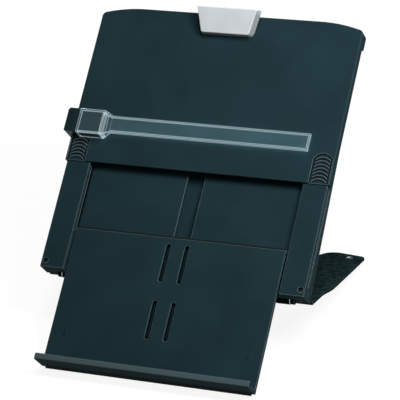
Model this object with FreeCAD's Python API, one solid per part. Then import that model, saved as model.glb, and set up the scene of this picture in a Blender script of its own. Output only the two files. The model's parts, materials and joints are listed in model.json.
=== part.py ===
"""Desk copy holder with a clear line guide, in millimetres.

Three stages slide in each other: a cover with the paper clip and the line guide, a body with two
rails, and a tray with the ledge. A leg is hinged at the foot of the body. The holder stands on the
rubber strip under its ledge and on the two feet of the leg.

Each piece is drawn in the board's own frame: X to the right, Y up the board, Z out of its front.
The cover's lower edge is y = 0 and its front face is z = 0. The last section tilts the board to the
angle at which strip and feet both stand on the desk, z = 0, with the strip's middle at the origin.
"""
import FreeCAD, Part
import math
import os
from FreeCAD import Vector

# Fits
slide_gap = 0.4
pin_clearance = 0.05
seat_gap = 0.1

# Cover
cover_width = 296.0
cover_height = 181.0
cover_wall = 1.8
skirt_wall = 1.6
skirt_depth = 9.0
hood_height = 24.0
hood_depth = 14.2
hood_back_wall = 2.4
shoulder_drop = 7.5
shoulder_reach = 48.0
corner_radius = 5.0
edge_radius = 1.2
lip_reach = 1.8
lip_thickness = 1.6
lip_length = 36.0
rib_height = 2.1
rib_wall = 1.6

# Thumb grips of the cover
grip_inset = 12.5
grip_half_width = 10.5
grip_height = 33.5
grip_depth = 1.0
grip_rib_count = 7
grip_rib_pitch = 4.0
grip_rib_radius = 12.2
grip_rib_width = 1.3
grip_rib_half_span = 8.0

# Body
body_length = 165.5
cover_overlap = 45.0
rail_width = 27.0
rail_wall = 2.2
rail_edge = 0.7
side_wall = 3.6
floor_depth = 8.3
floor_wall = 1.6
channel_half_width = 9.5
channel_length = 125.5
channel_flange = 1.5
back_wall = 2.0
back_depth_top = 14.6
back_depth_bottom = 24.2
stop_gap = 2.0

# Tray and ledge
tray_side_gap = 2.4
tray_drop = 2.3
tray_wall = 3.5
tray_length = 152.3
tray_overlap = 47.1
tongue_thickness = 1.7
tongue_reach = 4.7
tongue_length = 42.0
ledge_reach = 25.0
ledge_wall = 3.0
lip_height = 7.0
lip_wall = 3.4
ledge_fillet = 5.0
slot_width = 4.5
slot_length = 41.3
slot_spacing = 20.6
slot_pitch = 62.1
slot_margin = 7.0
slot_floor = 0.9
slot_flare = 1.4
lug_half_width = 7.6
lug_length = 9.0
lug_height = 4.6

# Leg, its hinge and its feet
leg_opening = 52.0
leg_length = 169.5
leg_wall = 3.0
leg_setback = 8.0
leg_overhang = 1.0
leg_flare = 4.2
leg_flare_start = 42.0
leg_flare_end = 58.0
arch_half_width = 110.0
arch_floor_half_width = 70.0
arch_floor = 98.0
toe_slant = 3.5
hinge_inset = 1.5
hinge_rise = 2.4
pin_radius = 2.0
ear_radius = 4.6
knuckle_radius = 5.0
knuckle_inset = 27.0
knuckle_length = 14.0
ear_length = 4.2
washer_thickness = 0.8
leg_clearance = 0.9
foot_radius = 8.0
foot_stud_radius = 2.5
foot_head_radius = 3.8
foot_head_sink = 1.0
foot_head_height = 1.4
foot_inset_x = 14.8
foot_inset_y = 14.0
desk_clearance = 1.0

# Rubber strip under the ledge
strip_grip = 4.0
strip_thickness = 0.8
strip_half_face = 1.6
strip_end_inset = 4.0

# Clip
clip_tilt = 20.0
clip_face_height = 27.7
clip_bottom_half_width = 27.0
clip_top_half_width = 34.0
clip_depth = 9.5
clip_flare = 2.0
clip_wall = 1.8
clip_bevel = 0.8
clip_bottom_y = 155.0
clip_bottom_z = 8.0
clip_pin_y = 168.5
clip_pin_z = 6.2
clip_pin_radius = 1.25
clip_boss_radius = 3.2
clip_ear_x = 20.4
clip_ear_wall = 2.8
clip_lug_wall = 2.4
clip_base_wall = 1.8
clip_base_boss = 3.4
clip_base_reach = 7.5
clip_base_rise = 9.5
clip_ear_foot = 5.5
clip_pad_height = 4.0
clip_pad_inset = 5.0
spring_wire = 0.45
spring_radius = 2.6
spring_turns = 8.5
spring_pitch = 1.9

# Screws
screw_radius = 1.4
screw_head_radius = 2.5
screw_head_height = 1.8
post_radius = 4.0
counterbore_radius = 2.8
counterbore_depth = 4.0
lower_screw_inset = 5.0
lower_screw_rise = 7.0
upper_screw_inset = 8.0
upper_screw_drop = 7.0
hood_screw_x = 110.0
clip_screw_x = 15.0

# Line guide
guide_y = 28.5
guide_height = 26.7
guide_block_height = 10.4
guide_wrap = 5.1
cap_inset = 10.0
cap_width = 28.8
cap_low = 26.4
cap_high = 54.0
cap_height = 14.0
cap_wall = 1.8
bar_lift = 1.4
bar_low = 33.3
bar_high = 52.0
ramp_length = 5.7
bar_length = 221.5
bar_web = 1.6
bar_rim = 2.8
bar_rim_width = 2.3
retainer_wall = 2.0
leaf_thickness = 0.3
leaf_bow = 1.2
peg_radius = 1.2
peg_length = 3.0

# Places that follow from the sizes above
cover_half = cover_width / 2
body_half = cover_half - skirt_wall - slide_gap
rail_front = -(cover_wall + slide_gap)
rail_inner = body_half - rail_width
body_top = cover_overlap
body_bottom = body_top - body_length
floor_top = rail_front - floor_depth
parting = floor_top - floor_wall
cavity_inner = rail_inner + 4.6
cavity_outer = body_half - side_wall
tray_half = rail_inner - tray_side_gap
tray_front = rail_front - tray_drop
tray_back = tray_front - tray_wall
tray_top = body_bottom + tray_overlap
tray_bottom = tray_top - tray_length
ledge_top = tray_bottom + ledge_wall
ledge_front = tray_back + ledge_reach
hood_bottom = cover_height - hood_height
cover_travel = hood_bottom - body_top - stop_gap
tray_travel = body_bottom - ledge_top - stop_gap - 0.2
guide_travel_down = guide_y - 2.5
guide_travel_up = 96.0
hinge_y = body_bottom + hinge_inset
back_slope = math.atan((back_depth_bottom - back_depth_top) / body_length)
hinge_z = -back_depth_bottom + hinge_rise
leg_top = -(hinge_rise + leg_clearance)
leg_bottom = leg_top - leg_wall
leg_root_half_width = body_half + leg_overhang
leg_half_width = leg_root_half_width + leg_flare
knuckle_centre = body_half - knuckle_inset
lower_screw_x = body_half - lower_screw_inset
upper_screw_x = body_half - upper_screw_inset
cap_left = cap_inset - cover_half
cap_right = cap_left + cap_width
bar_left = cap_right + ramp_length
bar_right = bar_left + bar_length


def back_surface(y):
    """Height z of the body's rear face at height y on the board."""
    return -back_depth_top - (body_top - y) * math.tan(back_slope)


def box(x0, x1, y0, y1, z0, z1):
    return Part.makeBox(x1 - x0, y1 - y0, z1 - z0, Vector(x0, y0, z0))


def cylinder_x(radius, x0, x1, y, z):
    return Part.makeCylinder(radius, x1 - x0, Vector(x0, y, z), Vector(1, 0, 0))


def cylinder_z(radius, x, y, z0, z1):
    return Part.makeCylinder(radius, z1 - z0, Vector(x, y, z0), Vector(0, 0, 1))


def rounded_wire(corners, plane):
    """Closed wire through corners (a, b, radius), laid in plane "xy", "yz" or "xz"."""
    def lift(a, b):
        return {"xy": Vector(a, b, 0), "yz": Vector(0, a, b), "xz": Vector(a, 0, b)}[plane]

    spans = []
    count = len(corners)
    for i, (a, b, radius) in enumerate(corners):
        here = Vector(a, b, 0)
        before = Vector(*corners[i - 1][:2], 0) - here
        after = Vector(*corners[(i + 1) % count][:2], 0) - here
        before.normalize()
        after.normalize()
        if radius == 0:
            spans.append((here, None, here))
            continue
        half = before.getAngle(after) / 2
        reach = radius / math.tan(half)
        start = here + before * reach
        end = here + after * reach
        bisector = before + after
        bisector.normalize()
        middle = here + bisector * (radius / math.sin(half) - radius)
        spans.append((start, middle, end))
    edges = []
    for i, (start, middle, end) in enumerate(spans):
        if middle is not None:
            arc = Part.Arc(lift(start.x, start.y), lift(middle.x, middle.y), lift(end.x, end.y))
            edges.append(arc.toShape())
        following = spans[(i + 1) % count][0]
        if (following - end).Length > 1e-6:
            edges.append(Part.makeLine(lift(end.x, end.y), lift(following.x, following.y)))
    return Part.Wire(edges)


def prism_x(corners, x0, x1):
    face = Part.Face(rounded_wire(corners, "yz"))
    face.translate(Vector(x0, 0, 0))
    return face.extrude(Vector(x1 - x0, 0, 0))


def prism_y(corners, y0, y1):
    face = Part.Face(rounded_wire(corners, "xz"))
    face.translate(Vector(0, y0, 0))
    return face.extrude(Vector(0, y1 - y0, 0))


def prism_z(corners, z0, z1):
    face = Part.Face(rounded_wire(corners, "xy"))
    face.translate(Vector(0, 0, z0))
    return face.extrude(Vector(0, 0, z1 - z0))


def mirrored(corners):
    """The right half of an outline, from bottom to top, joined to its mirror image."""
    return corners + [(-x, y, radius) for x, y, radius in reversed(corners)]


def joined(shape, *others):
    return shape.multiFuse(list(others)).removeSplitter()


def both_sides(shape):
    return [shape, shape.mirror(Vector(0, 0, 0), Vector(1, 0, 0))]


def edges_where(shape, test):
    return [edge for edge in shape.Edges if test(edge.BoundBox)]


def screw(x, y, seat, tip, up=1, head_radius=screw_head_radius, head_height=screw_head_height):
    """Cross-recessed screw along Z: head above seat when up is 1, below it when up is -1."""
    head = cylinder_z(head_radius, x, y, min(seat, seat + up * head_height),
                      max(seat, seat + up * head_height))
    shank = cylinder_z(screw_radius, x, y, min(seat, tip), max(seat, tip))
    face = seat + up * head_height
    depth = 0.6 * head_height
    low, high = sorted((face, face - up * depth))
    recess = [box(x - 1.5, x + 1.5, y - 0.3, y + 0.3, low, high),
              box(x - 0.3, x + 0.3, y - 1.5, y + 1.5, low, high)]
    return joined(head, shank).cut(recess)


def cover_block(inset, bottom, z0, z1):
    """The cover's front outline as a solid, drawn in by inset, with arched shoulders."""
    half = cover_half - inset
    top = cover_height - inset
    radius = (shoulder_reach ** 2 + shoulder_drop ** 2) / (2 * shoulder_drop)
    sweep = math.asin((shoulder_reach - inset) / radius)
    shoulder = top - radius * (1 - math.cos(sweep))
    flat = cover_half - shoulder_reach
    edges = []
    for side in (1, -1):
        middle = Vector(side * (flat + radius * math.sin(sweep / 2)),
                        top - radius * (1 - math.cos(sweep / 2)), z0)
        ends = [Vector(side * half, shoulder, z0), Vector(side * flat, top, z0)]
        edges.append(Part.Arc(ends[0], middle, ends[1]).toShape())
        edges.append(Part.makeLine(Vector(side * half, bottom, z0), ends[0]))
    edges.append(Part.makeLine(Vector(-flat, top, z0), Vector(flat, top, z0)))
    edges.append(Part.makeLine(Vector(-half, bottom, z0), Vector(half, bottom, z0)))
    block = Part.Face(Part.Wire(Part.__sortEdges__(edges))).extrude(Vector(0, 0, z1 - z0))
    corners = edges_where(block, lambda b: b.XLength < 0.01 and b.YLength < 0.01
                          and abs(b.YMin - shoulder) < 0.01)
    return block.makeFillet(corner_radius - inset, corners)


def thumb_grip(panel, side):
    """Arched scoop with curved ribs in a lower corner of the cover."""
    x = side * (cover_half - grip_inset)
    arch = grip_height - 6.5
    left, right = x - grip_half_width, x + grip_half_width
    outline = Part.Wire([
        Part.makeLine(Vector(left, -1, 0), Vector(right, -1, 0)),
        Part.makeLine(Vector(right, -1, 0), Vector(right, arch, 0)),
        Part.Arc(Vector(right, arch, 0), Vector(x, grip_height, 0), Vector(left, arch, 0)).toShape(),
        Part.makeLine(Vector(left, arch, 0), Vector(left, -1, 0))])
    scoop = Part.Face(outline).extrude(Vector(0, 0, -grip_depth))
    ribs = []
    for k in range(grip_rib_count):
        apex = grip_height - 3.5 - k * grip_rib_pitch
        centre = apex - grip_rib_radius
        ring = cylinder_z(grip_rib_radius, x, centre, -grip_depth - 0.2, -0.1)
        ring = ring.cut(cylinder_z(grip_rib_radius - grip_rib_width, x, centre, -grip_depth - 0.2, -0.1))
        ribs.append(ring.common(box(x - grip_rib_half_span, x + grip_rib_half_span,
                                    centre + 5, apex + 1, -grip_depth - 0.2, 0)))
    return panel.cut(scoop).multiFuse(ribs)


def make_cover_panel():
    panel = cover_block(0, 0, -hood_depth, 0)
    front_rim = edges_where(panel, lambda b: abs(b.ZMin) < 0.01 and abs(b.ZMax) < 0.01)
    panel = panel.makeFillet(edge_radius, front_rim)
    step = hood_depth - skirt_depth
    turn = hood_bottom - step
    below = prism_x([(-1, -skirt_depth, 0), (hood_bottom, -skirt_depth, step),
                     (hood_bottom, -hood_depth - 1, 0), (-1, -hood_depth - 1, 0)],
                    -cover_half - 1, cover_half + 1)
    panel = panel.cut(below)
    panel = panel.cut(cover_block(skirt_wall, -1, -hood_depth - 1, -cover_wall))
    lip_face = cover_half - skirt_wall
    lip = box(lip_face - lip_reach, lip_face + 0.1, 3, 3 + lip_length,
              -skirt_depth, -skirt_depth + lip_thickness)
    ribs = [box(-110, 110, y, y + rib_wall, -cover_wall - rib_height, -cover_wall)
            for y in (8, 54, 100, 146)]
    ribs += [box(x - rib_wall / 2, x + rib_wall / 2, 8, 146, -cover_wall - rib_height, -cover_wall)
             for x in (-109.2, -54, 0, 54, 109.2)]
    posts = [cylinder_z(post_radius - 0.5, x, hood_bottom + hood_height / 2 + 1,
                        -hood_depth + hood_back_wall, -cover_wall)
             for x in (-hood_screw_x, 0, hood_screw_x)]
    panel = joined(panel, *both_sides(lip), *ribs, *posts)
    holes = [cylinder_z(screw_radius + pin_clearance, x, hood_bottom + hood_height / 2 + 1,
                        -hood_depth, -cover_wall - 2) for x in (-hood_screw_x, 0, hood_screw_x)]
    holes += [cylinder_z(screw_radius + seat_gap, x, clip_pin_y, -cover_wall - 1, 1)
              for x in (-clip_screw_x, clip_screw_x)]
    panel = panel.cut(holes)
    for side in (-1, 1):
        panel = thumb_grip(panel, side)
    return panel.removeSplitter()


def make_hood_back():
    outline = cover_block(skirt_wall + seat_gap, hood_bottom, -hood_depth, -hood_depth + hood_back_wall)
    sill_half = cover_half - skirt_wall - seat_gap
    sill = box(-sill_half, sill_half, hood_bottom, hood_bottom + skirt_wall,
               -hood_depth, -cover_wall - seat_gap)
    plate = joined(outline, sill)
    for x in (-hood_screw_x, 0, hood_screw_x):
        y = hood_bottom + hood_height / 2 + 1
        plate = plate.cut([cylinder_z(screw_radius + seat_gap, x, y, -hood_depth - 1, 0),
                           cylinder_z(screw_head_radius + 0.4, x, y, -hood_depth - 1, -hood_depth + 1.3)])
    return plate


def make_hood_screws():
    y = hood_bottom + hood_height / 2 + 1
    return [screw(x, y, -hood_depth + 1.3, -cover_wall - 3, up=-1, head_height=1.1)
            for x in (-hood_screw_x, 0, hood_screw_x)]


def post_places():
    return [(lower_screw_x, body_bottom + lower_screw_rise, parting - 7),
            (upper_screw_x, body_top - upper_screw_drop, parting - 1.6)]


def make_body_front():
    groove_low = tray_back - slide_gap
    groove_high = tray_back + tongue_thickness + slide_gap
    groove_end = rail_inner + tongue_reach - tray_side_gap + 0.5
    half = [(0, parting, 0), (cavity_inner, parting, 0), (cavity_inner, rail_front - rail_wall, 1.0),
            (cavity_outer, rail_front - rail_wall, 0), (cavity_outer, parting, 0),
            (body_half, parting, 0), (body_half, rail_front - rail_edge, 0),
            (body_half - rail_edge, rail_front, 0), (rail_inner + rail_edge, rail_front, 0),
            (rail_inner, rail_front - rail_edge, 0), (rail_inner, groove_high, 0),
            (groove_end, groove_high, 0), (groove_end, groove_low, 0), (rail_inner, groove_low, 0),
            (rail_inner, floor_top, 0), (0, floor_top, 0)]
    right = prism_y(half, body_bottom, body_top)
    top_wall = box(cavity_inner - 1, cavity_outer + 1, body_top - back_wall, body_top, parting,
                   rail_front - 0.3)
    sill = box(-cavity_inner, cavity_inner, body_top - back_wall, body_top, parting, tray_front)
    rail_end = box(rail_inner + 0.3, body_half - 1, body_bottom, body_bottom + back_wall,
                   parting, rail_front - rail_edge)
    flange = box(channel_half_width, channel_half_width + floor_wall, body_bottom + back_wall + 1,
                 body_bottom + channel_length, parting - channel_flange, parting + 0.1)
    posts = [cylinder_z(post_radius, x, y, parting, rail_front - 0.5) for x, y, tip in post_places()]
    frame = joined(*both_sides(right), sill, *both_sides(top_wall),
                   *both_sides(rail_end), *both_sides(flange),
                   *[shape for post in posts for shape in both_sides(post)])
    lip_top = -skirt_depth + lip_thickness
    groove = box(body_half - lip_reach - 0.1, body_half + 1, 3 - cover_travel - 1.5, body_top + 1,
                 -skirt_depth - 0.3, lip_top + 0.3)
    cuts = both_sides(groove)
    cuts.append(box(-channel_half_width, channel_half_width, body_bottom - 1,
                    body_bottom + channel_length, parting - 1, floor_top + 1))
    for x, y, tip in post_places():
        bore = joined(cylinder_z(counterbore_radius, x, y, rail_front - counterbore_depth, rail_front + 1),
                      cylinder_z(screw_radius + seat_gap, x, y, parting - 1, rail_front))
        cuts += both_sides(bore)
    return frame.cut(cuts)


def make_body_screws():
    shapes = []
    for x, y, tip in post_places():
        seat = rail_front - counterbore_depth
        shapes += [screw(side * x, y, seat, tip + 0.4) for side in (-1, 1)]
    return shapes


def knuckle_span():
    return knuckle_centre - knuckle_length / 2, knuckle_centre + knuckle_length / 2


def ear_spans():
    """X ranges of the body's two ears beside one knuckle, on the right side."""
    low, high = knuckle_span()
    room = washer_thickness + 0.2
    return [(low - room - ear_length, low - room), (high + room, high + room + ear_length)]


def make_body_back():
    wedge = [(body_bottom, parting, 0), (body_top, parting, 0), (body_top, -back_depth_top, 1.2),
             (body_bottom, -back_depth_bottom, 1.8)]
    outer = prism_x(wedge, -body_half, body_half)
    inner = [(body_bottom + back_wall, parting + 1, 0), (body_top - back_wall, parting + 1, 0),
             (body_top - back_wall, back_surface(body_top - back_wall) + back_wall, 0),
             (body_bottom + back_wall, back_surface(body_bottom + back_wall) + back_wall, 0)]
    shell = outer.cut(prism_x(inner, -body_half + back_wall, body_half - back_wall))
    low, high = knuckle_span()
    ears = ear_spans()
    pocket_radius = knuckle_radius + 0.9
    lining = cylinder_x(pocket_radius + 1.6, ears[0][0], ears[1][1], hinge_y, hinge_z).common(outer)
    additions = both_sides(lining)
    for x0, x1 in ears:
        additions += both_sides(cylinder_x(ear_radius, x0, x1, hinge_y, hinge_z))
    for x, y, tip in post_places():
        post = cylinder_z(post_radius - 0.4, x, y, back_surface(y) + 0.5, parting)
        additions += both_sides(post)
    for y in (body_bottom + 50, body_bottom + 100):
        rib = box(channel_half_width + 4, cavity_inner, y, y + rib_wall,
                  -back_depth_bottom, parting - 0.2).common(outer)
        additions += both_sides(rib)
    shell = joined(shell, *additions)
    cuts = both_sides(cylinder_x(pocket_radius, ears[0][1], ears[1][0], hinge_y, hinge_z))
    cuts += both_sides(cylinder_x(pin_radius + pin_clearance / 2, ears[0][0] - 1, ears[1][1] + 1,
                                  hinge_y, hinge_z))
    for x, y, tip in post_places():
        cuts += both_sides(cylinder_z(screw_radius + pin_clearance, x, y, tip, parting + 1))
    return shell.cut(cuts)


def make_hinge_pin(side):
    ears = ear_spans()
    x0, x1 = ears[0][0] + 0.4, ears[1][1] - 0.4
    pin = cylinder_x(pin_radius, x0, x1, hinge_y, hinge_z)
    pin = pin.makeChamfer(0.4, pin.Edges)
    if side < 0:
        pin = pin.mirror(Vector(0, 0, 0), Vector(1, 0, 0))
    return pin


def make_hinge_washers():
    low, high = knuckle_span()
    washers = []
    for x0 in (low - 0.1 - washer_thickness, high + 0.1):
        disc = cylinder_x(ear_radius - 0.2, x0, x0 + washer_thickness, hinge_y, hinge_z)
        bore = cylinder_x(pin_radius + pin_clearance, x0 - 1, x0 + washer_thickness + 1, hinge_y, hinge_z)
        washers += both_sides(disc.cut(bore))
    return washers


def slot_cutter(x, y_top):
    """Blind obround slot in the tray, from y_top downwards, with a broken front edge."""
    radius = slot_width / 2
    wide = radius + slot_flare
    y0, y1 = y_top - slot_length + radius, y_top - radius
    bottom = tray_back + slot_floor
    break_z = tray_front - slot_flare / 3
    top_z = break_z + slot_flare
    shapes = [box(x - radius, x + radius, y0, y1, bottom, tray_front + 1)]
    for y in (y0, y1):
        shapes.append(cylinder_z(radius, x, y, bottom, tray_front + 1))
        shapes.append(Part.makeCone(radius, wide, slot_flare, Vector(x, y, break_z), Vector(0, 0, 1)))
    flare = [(x - radius, break_z, 0), (x + radius, break_z, 0), (x + wide, top_z, 0), (x - wide, top_z, 0)]
    shapes.append(prism_y(flare, y0, y1))
    return joined(*shapes)


def make_tray():
    profile = [(tray_top, tray_front, 0.6), (tray_top, tray_back, 0), (tray_bottom, tray_back, 1.2),
               (tray_bottom, ledge_front, 1.6), (tray_bottom + lip_height, ledge_front, 1.5),
               (tray_bottom + lip_height, ledge_front - lip_wall, 1.5),
               (ledge_top, ledge_front - lip_wall, 0.8), (ledge_top, tray_front, ledge_fillet)]
    tray = prism_x(profile, -tray_half, tray_half)
    bevel = prism_y([(tray_half - 0.6, tray_front, 0), (tray_half + 1, tray_front - 1.6, 0),
                     (tray_half + 1, tray_front + 1, 0), (tray_half - 0.6, tray_front + 1, 0)],
                    ledge_top + ledge_fillet, tray_top + 1)
    tray = tray.cut(both_sides(bevel))
    tongue = box(tray_half - 1, tray_half + tongue_reach, tray_top - 1.6 - tongue_length,
                 tray_top - 1.6, tray_back, tray_back + tongue_thickness)
    lugs = []
    slots = []
    for row in (0, 1):
        top = tray_top - slot_margin - row * slot_pitch
        middle = top - slot_length / 2
        lug = [(middle - lug_length / 2, tray_back + 0.5, 0), (middle + lug_length / 2, tray_back + 0.5, 0),
               (middle + lug_length / 2 - 1, tray_back - lug_height, 1),
               (middle - lug_length / 2 + 1, tray_back - lug_height, 1)]
        lugs.append(prism_x(lug, -lug_half_width, lug_half_width))
        slots += [slot_cutter(side * slot_spacing / 2, top) for side in (-1, 1)]
    return joined(tray, *both_sides(tongue), *lugs).cut(slots)


def make_ledge_foot_strip(angle):
    """Rubber corner strip whose lower face is level when the board stands at the given angle."""
    down = Vector(0, -math.sin(angle), -math.cos(angle))
    forward = Vector(0, -math.cos(angle), math.sin(angle))
    corner = Vector(0, tray_bottom, tray_back)
    seat = 0.05
    front = corner + down * strip_thickness + forward * strip_half_face
    rear = corner + down * strip_thickness - forward * strip_half_face
    outline = [(tray_bottom - seat, tray_back + strip_grip, 0), (front.y, front.z, 0),
               (rear.y, rear.z, 0), (tray_bottom + strip_grip, tray_back - seat, 0),
               (tray_bottom + 0.6, tray_back - seat, 0), (tray_bottom - seat, tray_back + 0.6, 0)]
    return prism_x(outline, -tray_half + strip_end_inset, tray_half - strip_end_inset)


def soft_radius(before, here, after, share):
    """Radius that starts its curve at a share of the shorter side from the corner."""
    sides = [(before[0] - here[0], before[1] - here[1]), (after[0] - here[0], after[1] - here[1])]
    lengths = [math.hypot(*side) for side in sides]
    dot = (sides[0][0] * sides[1][0] + sides[0][1] * sides[1][1]) / (lengths[0] * lengths[1])
    return share * min(lengths) * math.tan(math.acos(dot) / 2)


def leg_outline():
    root = (leg_root_half_width, leg_setback)
    start = (leg_root_half_width, leg_flare_start)
    end = (leg_half_width, leg_flare_end)
    toe = (leg_half_width, leg_length - toe_slant)
    inner_toe = (arch_half_width, leg_length + toe_slant)
    floor = (arch_floor_half_width, arch_floor)
    far_floor = (-arch_floor_half_width, arch_floor)
    right = [(*root, 0.8), (*start, soft_radius(root, start, end, 0.48)),
             (*end, soft_radius(start, end, toe, 0.48)), (*toe, soft_radius(end, toe, inner_toe, 0.12)),
             (*inner_toe, soft_radius(toe, inner_toe, floor, 0.3)),
             (*floor, soft_radius(inner_toe, floor, far_floor, 0.35))]
    return mirrored(right)


def make_leg_plate():
    """Leg in its own frame: origin on the hinge axis, Y towards the feet, Z out of its upper face."""
    plate = prism_z(leg_outline(), leg_bottom, leg_top)
    rim = edges_where(plate, lambda b: b.ZLength < 0.01)
    plate = plate.makeChamfer(0.5, rim)
    low, high = knuckle_span()
    arm = [(1, 0.4 - knuckle_radius, 0), (leg_setback + 1, leg_bottom + 0.4, 0),
           (leg_setback + 1, leg_top - 0.4, 0), (1, leg_top + 0.6, 0)]
    knuckle = cylinder_x(knuckle_radius, low, high, 0, 0).fuse(prism_x(arm, low, high))
    plate = joined(plate, *both_sides(knuckle))
    holes = both_sides(cylinder_x(pin_radius + pin_clearance, low - 1, high + 1, 0, 0))
    foot_x = leg_half_width - foot_inset_x
    foot_y = leg_length - foot_inset_y
    holes += both_sides(cylinder_z(foot_stud_radius + seat_gap, foot_x, foot_y, leg_bottom - 1, leg_top + 1))
    holes += both_sides(cylinder_z(foot_head_radius + seat_gap, foot_x, foot_y,
                                   leg_top - foot_head_sink, leg_top + 1))
    return plate.cut(holes)


def make_leg_foot(side, slope, height):
    """Rubber foot in the leg's frame, cut level where the desk lies under the hinge by height."""
    x = side * (leg_half_width - foot_inset_x)
    y = leg_length - foot_inset_y
    puck = Part.makeCone(foot_radius + 1.5, foot_radius - 0.5, 14, Vector(x, y, leg_bottom), Vector(0, 0, -1))
    puck = puck.cut(box(x - 20, x + 20, leg_length - 1, leg_length + 20, -40, 40))
    stud = cylinder_z(foot_stud_radius, x, y, leg_bottom - 0.5, leg_top)
    seat = leg_top - foot_head_sink
    head = cylinder_z(foot_head_radius, x, y, seat, seat + foot_head_height)
    top_edge = edges_where(head, lambda b: b.ZMin > seat + foot_head_height - 0.01)
    head = head.makeFillet(0.6, top_edge)
    foot = joined(puck, stud, head)
    below = box(x - 40, x + 40, -300, 300, -200, 0)
    below.translate(Vector(0, 0, -height))
    below.rotate(Vector(0, 0, 0), Vector(1, 0, 0), -math.degrees(slope))
    return foot.cut(below)


def clip_solid(sections):
    """Drafted block through outlines (grow, top, z), in the lever's tilted frame."""
    wires = []
    for grow, top, z in sections:
        right = [(clip_bottom_half_width + grow, -grow, 3.0 + grow / 2),
                 (clip_top_half_width + grow, top, 0.6)]
        wire = rounded_wire(mirrored(right), "xy")
        wire.translate(Vector(0, 0, z))
        wires.append(wire)
    return Part.makeLoft(wires, True, True)


def tilt_clip(shape):
    shape.rotate(Vector(0, 0, 0), Vector(1, 0, 0), clip_tilt)
    shape.translate(Vector(0, clip_bottom_y, clip_bottom_z))
    return shape


def clip_inside(gap=0.0):
    """Room inside the lever, in its tilted frame, drawn in by a further gap."""
    wall = clip_wall + gap
    top = clip_face_height - wall
    return clip_solid([(-wall, top, -wall), (clip_flare - wall, top, -clip_depth - 0.5)])


def make_clip_lever():
    top = clip_face_height
    outer = clip_solid([(-clip_bevel, top - clip_bevel, 0), (0, top, -clip_bevel),
                        (clip_flare, top, -clip_depth)])
    shell = tilt_clip(outer.cut(clip_inside()))
    lug_low = clip_ear_x + clip_ear_wall + 0.3
    slope = math.tan(math.radians(clip_tilt))
    wall_z = clip_bottom_z - 1.5
    low_y, high_y = clip_pin_y - 1.6 * clip_boss_radius, clip_pin_y + 1.6 * clip_boss_radius
    web = [(clip_pin_y - clip_boss_radius, clip_pin_z, 0),
           (low_y, wall_z + (low_y - clip_bottom_y) * slope, 0),
           (high_y, wall_z + (high_y - clip_bottom_y) * slope, 0),
           (clip_pin_y + clip_boss_radius, clip_pin_z, 0)]
    lug = joined(prism_x(web, lug_low, lug_low + clip_lug_wall),
                 cylinder_x(clip_boss_radius, lug_low, lug_low + clip_lug_wall, clip_pin_y, clip_pin_z))
    lever = joined(shell, *both_sides(lug))
    reach = lug_low + clip_lug_wall + 0.5
    bore = cylinder_x(clip_pin_radius + pin_clearance, -reach, reach, clip_pin_y, clip_pin_z)
    reach = clip_top_half_width + 2 * clip_flare
    below_cover = box(-reach, reach, hood_bottom - hood_height, cover_height + hood_height,
                      -hood_depth, slide_gap)
    return lever.cut([bore, below_cover])


def make_clip_pad():
    """Rubber strip behind the lever's lower edge, shaped to its inner wall."""
    inner = tilt_clip(clip_inside(seat_gap))
    half = clip_bottom_half_width - clip_pad_inset
    low = clip_bottom_y - clip_flare
    strip = box(-half, half, low, clip_pin_y - clip_base_reach - seat_gap * 5, slide_gap,
                slide_gap + clip_pad_height)
    return strip.common(inner)


def make_clip_base():
    half = clip_ear_x + clip_ear_wall
    plate = prism_z(mirrored([(half, clip_pin_y - clip_base_reach, clip_base_wall),
                              (half, clip_pin_y + clip_base_rise, clip_base_wall)]), 0, clip_base_wall)
    ear = [(clip_pin_y - clip_ear_foot, 0, 0), (clip_pin_y + clip_ear_foot, 0, 0),
           (clip_pin_y + clip_boss_radius - 0.2, clip_pin_z, 0),
           (clip_pin_y - clip_boss_radius + 0.2, clip_pin_z, 0)]
    ears = joined(prism_x(ear, clip_ear_x, clip_ear_x + clip_ear_wall),
                  cylinder_x(clip_boss_radius - 0.2, clip_ear_x, clip_ear_x + clip_ear_wall,
                             clip_pin_y, clip_pin_z))
    bosses = [cylinder_z(post_radius - 1, x, clip_pin_y, 0, clip_base_boss)
              for x in (-clip_screw_x, clip_screw_x)]
    base = joined(plate, *both_sides(ears), *bosses)
    bore = cylinder_x(clip_pin_radius + pin_clearance / 2, -half - 1, half + 1, clip_pin_y, clip_pin_z)
    holes = [cylinder_z(screw_radius + pin_clearance, x, clip_pin_y, -1, clip_base_boss - 0.6)
             for x in (-clip_screw_x, clip_screw_x)]
    return base.cut([bore] + holes)


def make_clip_base_screws():
    return [screw(x, clip_pin_y, -cover_wall, clip_base_boss - 1, up=-1, head_height=1.5)
            for x in (-clip_screw_x, clip_screw_x)]


def make_clip_pin():
    reach = clip_ear_x + clip_ear_wall + 0.3 + clip_lug_wall + 0.5
    pin = cylinder_x(clip_pin_radius, -reach, reach, clip_pin_y, clip_pin_z)
    return pin.makeChamfer(0.3, pin.Edges)


def make_clip_spring():
    """Torsion spring: a helix round the pin with one leg on the base and one under the lever."""
    length = spring_turns * spring_pitch
    helix = Part.makeHelix(spring_pitch, length, spring_radius, 0, True)
    profile = Part.Wire(Part.makeCircle(spring_wire, Vector(spring_radius, 0, 0), Vector(0, 1, 0)))
    coil = Part.Wire(helix).makePipeShell([profile], True, True)
    coil.rotate(Vector(0, 0, 0), Vector(0, 1, 0), 90)
    coil.translate(Vector(-length / 2, clip_pin_y, clip_pin_z))
    ends = [(-length / 2, clip_pin_z - spring_radius, clip_base_wall + spring_wire + 0.1),
            (length / 2, clip_pin_z + spring_radius, clip_pin_z + spring_radius + 0.9)]
    legs = []
    for x, z0, z1 in ends:
        reach = Vector(0, 8, z1 - z0)
        legs.append(Part.makeCylinder(spring_wire, reach.Length, Vector(x, clip_pin_y - 0.3, z0), reach))
    return coil.multiFuse(legs)


def peg_places():
    return guide_y + guide_height / 4, guide_y + guide_height * 3 / 4


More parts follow.
